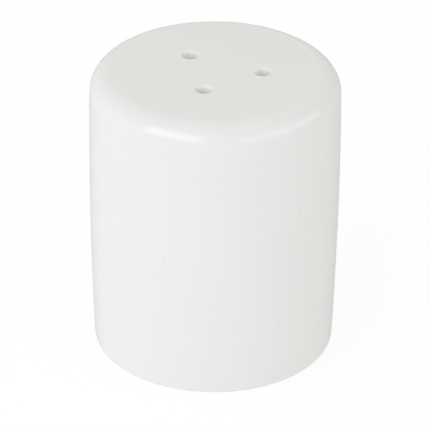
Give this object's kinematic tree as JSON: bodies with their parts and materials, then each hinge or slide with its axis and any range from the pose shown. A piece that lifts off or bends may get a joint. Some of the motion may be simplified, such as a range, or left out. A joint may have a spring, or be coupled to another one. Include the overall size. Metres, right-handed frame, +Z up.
{
  "type": "salt or pepper shaker",
  "caption": "Round-shouldered glazed porcelain salt or pepper shaker with pour holes in its top and a soft push-in stopper in its base.",
  "frame": {"origin": "centre of the foot ring's resting face, on the turning axis", "axes": "+Z up along the turning axis; one pour hole lies close to +X"},
  "size_m": [0.058, 0.058, 0.07],
  "materials": {
    "glazed_porcelain": "clear gloss glaze over white porcelain",
    "soft_stopper": "satin, slightly translucent white"
  },
  "bodies": {
    "shaker": {"porcelain_body": "glazed_porcelain"},
    "stopper": {"base_stopper": "soft_stopper"}
  },
  "joints": [
    {"name": "stopper_pull", "type": "slide", "parent": "shaker", "child": "stopper", "axis": [0, 0, -1], "range_m": [0, 0.02]}
  ]
}
